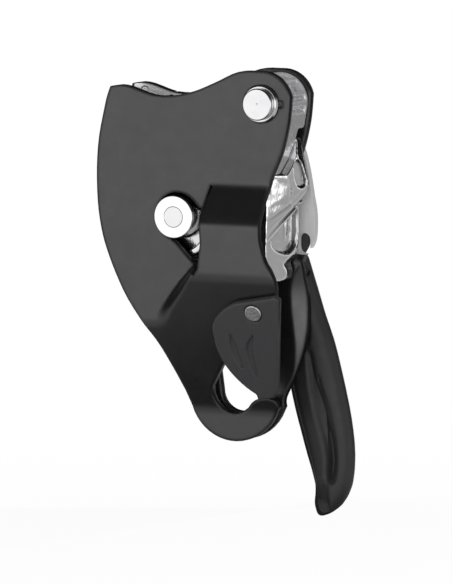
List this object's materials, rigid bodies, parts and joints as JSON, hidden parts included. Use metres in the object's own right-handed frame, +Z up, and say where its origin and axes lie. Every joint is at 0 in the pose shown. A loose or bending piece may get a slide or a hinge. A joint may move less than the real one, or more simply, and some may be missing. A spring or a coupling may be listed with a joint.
{
  "type": "rappel descender",
  "caption": "Self-braking rope descender: two side plates with a swing front plate, sprung cam, gated hook eye and folding release handle.",
  "frame": {"origin": "centre of the connector eye, midway through the two plates there", "axes": "+X to the right as seen from the front plate, +Y from the front plate to the rear plate, +Z up to the rope end"},
  "size_m": [0.1082, 0.0516, 0.1976],
  "materials": {
    "black_anodised": "satin black anodised pressed aluminium sheet",
    "cast_silver": "polished investment casting, stainless steel",
    "bronze": "plain sintered bronze bush",
    "polished_steel": "turned and polished stainless steel",
    "spring_steel": "plain drawn steel",
    "matt_aluminium": "bead-blasted natural aluminium",
    "black_nylon": "moulded glass-filled nylon, fine spark texture"
  },
  "bodies": {
    "frame": {"rear_plate": "black_anodised", "cam_axle": "polished_steel", "axle_head": "polished_steel", "axle_nut": "spring_steel", "front_thrust_washer": "polished_steel", "rear_thrust_washer": "polished_steel", "handle_washer": "polished_steel", "swing_pin": "polished_steel", "swing_pin_washer": "polished_steel", "brake_block": "cast_silver", "entry_guide": "cast_silver", "guide_rivet_1": "polished_steel", "guide_rivet_2": "polished_steel", "block_rivet_1": "polished_steel", "block_rivet_2": "polished_steel", "cam_spring": "spring_steel"},
    "swing_plate": {"front_plate": "black_anodised", "gate_rivet": "polished_steel", "gate_spring": "spring_steel"},
    "gate": {"gate": "black_nylon"},
    "cam": {"cam": "cast_silver", "cam_bush": "bronze"},
    "handle": {"handle_lever": "matt_aluminium", "handle_grip": "black_nylon", "handle_bush": "bronze"}
  },
  "joints": [
    {"name": "plate_swing", "type": "hinge", "parent": "frame", "child": "swing_plate", "pos_m": [0.0198, -0.0075, 0.1282], "axis": [0, 1, 0], "range_deg": [0, 100]},
    {"name": "gate_swing", "type": "hinge", "parent": "swing_plate", "child": "gate", "pos_m": [0.0195, -0.02369, 0.0395], "axis": [0, 0.9306, 0.3661], "range_deg": [0, 26], "stiffness_Nm_per_rad": 0.05, "springref_deg": -20.05},
    {"name": "cam_turn", "type": "hinge", "parent": "frame", "child": "cam", "pos_m": [-0.0205, -0.0075, 0.078], "axis": [0, 1, 0], "range_deg": [0, 22], "stiffness_Nm_per_rad": 0.25, "springref_deg": -34.38},
    {"name": "handle_swing", "type": "hinge", "parent": "frame", "child": "handle", "pos_m": [-0.0205, 0.0065, 0.078], "axis": [0, -1, 0], "range_deg": [0, 120]}
  ]
}
